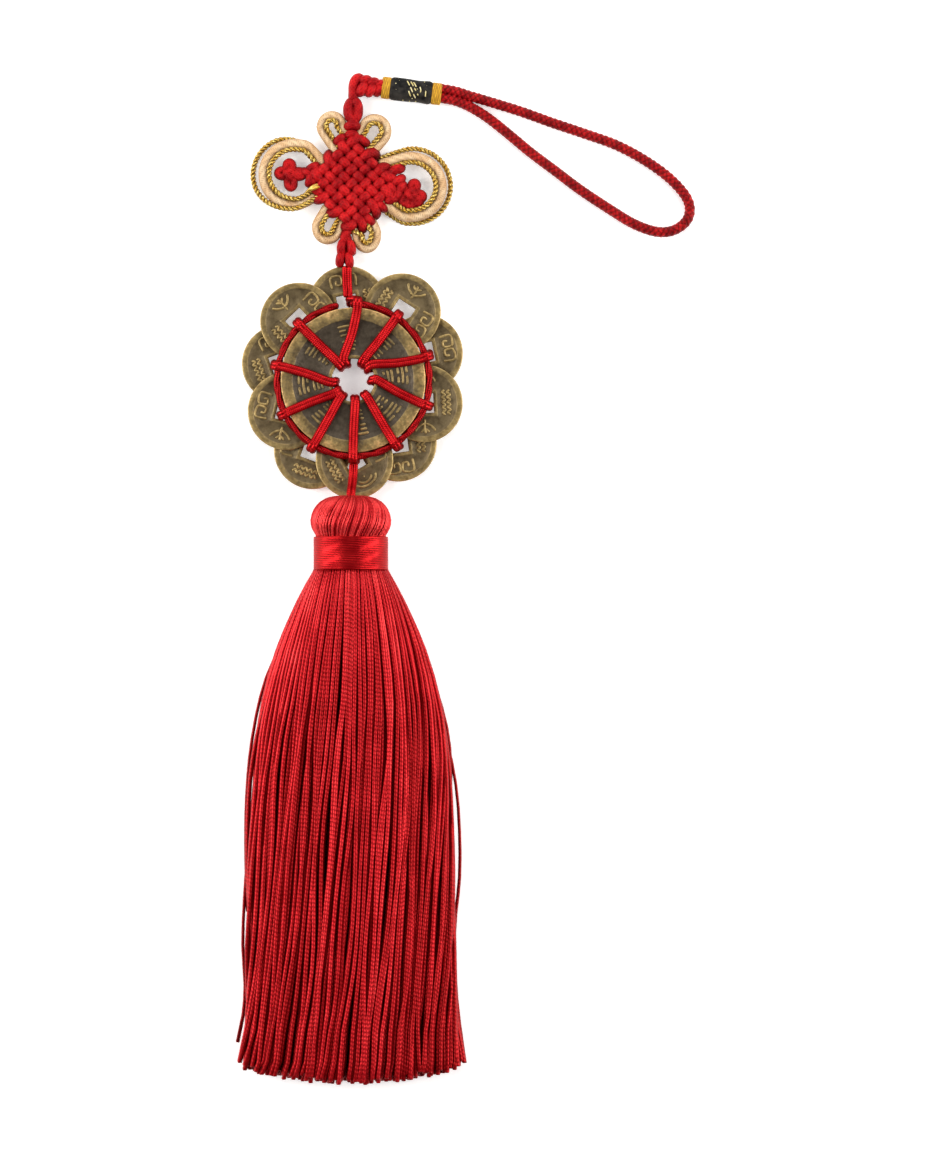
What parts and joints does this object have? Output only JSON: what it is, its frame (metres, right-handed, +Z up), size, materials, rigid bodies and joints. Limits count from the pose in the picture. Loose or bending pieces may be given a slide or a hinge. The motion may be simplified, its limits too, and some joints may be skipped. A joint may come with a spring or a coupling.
{
  "type": "chinese knot coin charm",
  "caption": "Knotted-cord hanging charm lying face up: bound hand loop, woven diamond knot with looped ears, ring of lashed holed coins and a long silk tassel.",
  "frame": {"origin": "on the table, under the middle of the box of everything but the hand loop", "axes": "+Z up from the table, out of the charm's face; +Y along the charm, from the tassel's cut ends to the top knot; +X to the right of the face, where the hand loop lies"},
  "size_m": [0.1354, 0.302, 0.0237],
  "materials": {
    "knot_cord": "dyed red braided nylon knotting cord, soft sheen",
    "satin_cord": "red flat satin cord, glossy along its threads",
    "tassel_silk": "red rayon silk threads, glossy along their length",
    "cream_cord": "cream satin-covered cord, soft gloss",
    "gold_thread": "twisted metallic gold thread",
    "yellow_thread": "yellow silk thread, tightly wound",
    "brocade": "black brocade ribbon with gold threads",
    "coin_brass": "cast brass, brown patina with polished high edges"
  },
  "bodies": {
    "root": {"woven_knot": "knot_cord", "left_big_ear_cream": "cream_cord", "left_big_ear_gold_inner": "gold_thread", "left_big_ear_gold_outer": "gold_thread", "right_big_ear_cream": "cream_cord", "right_big_ear_gold_inner": "gold_thread", "right_big_ear_gold_outer": "gold_thread", "upper_left_ear_cream": "cream_cord", "upper_left_ear_gold": "gold_thread", "upper_right_ear_cream": "cream_cord", "upper_right_ear_gold": "gold_thread", "lower_left_ear_cream": "cream_cord", "lower_left_ear_gold": "gold_thread", "lower_right_ear_cream": "cream_cord", "lower_right_ear_gold": "gold_thread", "left_flower_knot": "knot_cord", "right_flower_knot": "knot_cord", "upper_knots": "knot_cord", "lower_knots": "knot_cord", "gold_tail": "gold_thread", "coin_01": "coin_brass", "coin_02": "coin_brass", "coin_03": "coin_brass", "coin_04": "coin_brass", "coin_05": "coin_brass", "coin_06": "coin_brass", "coin_07": "coin_brass", "coin_08": "coin_brass", "coin_09": "coin_brass", "coin_10": "coin_brass", "large_coin": "coin_brass", "lashing": "satin_cord", "upper_strands": "satin_cord", "lower_strands": "satin_cord", "tassel": "tassel_silk", "tassel_band": "satin_cord", "sleeve_binding_near": "yellow_thread", "sleeve": "brocade", "sleeve_binding_far": "yellow_thread", "hand_loop": "knot_cord"}
  },
  "joints": []
}
